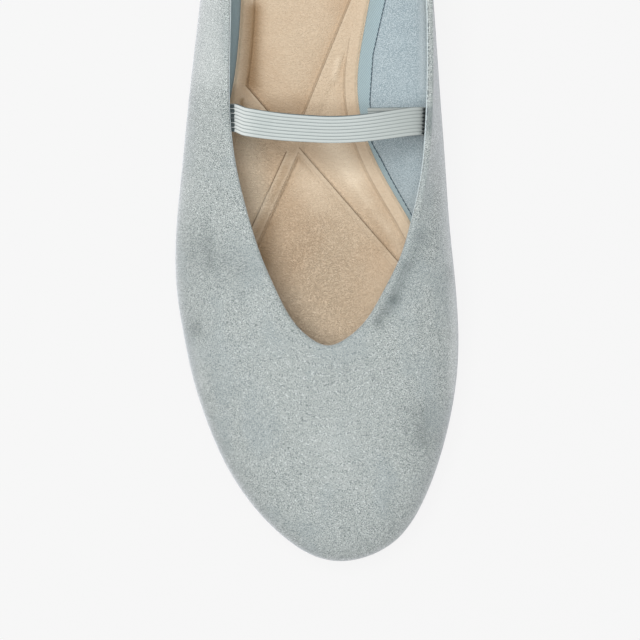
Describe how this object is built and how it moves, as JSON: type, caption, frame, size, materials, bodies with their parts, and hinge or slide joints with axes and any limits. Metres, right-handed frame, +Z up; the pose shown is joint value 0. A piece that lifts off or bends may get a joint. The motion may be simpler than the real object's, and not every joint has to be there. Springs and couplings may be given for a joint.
{
  "type": "ballet flat",
  "caption": "Women's suede ballet flat with a deep V throat, a moulded footbed, a low heel and an elastic strap over the instep, right foot.",
  "frame": {"origin": "centre of the shoe seen from above, on the floor it stands on", "axes": "+Y from toe to heel, +X towards the inner side of the foot, +Z up"},
  "size_m": [0.0838, 0.25, 0.0585],
  "materials": {
    "suede": "pale blue-grey suede with a short speckled nap",
    "sole_rubber": "matt tan rubber with fine grain",
    "heel_rubber": "matt darker tan rubber",
    "footbed": "moulded tan leather, matt, fine grain",
    "elastic": "pale corded elastic with a slight sheen"
  },
  "bodies": {
    "root": {"upper": "suede", "outsole": "sole_rubber", "heel": "heel_rubber", "insole": "footbed", "strap": "elastic"}
  },
  "joints": []
}
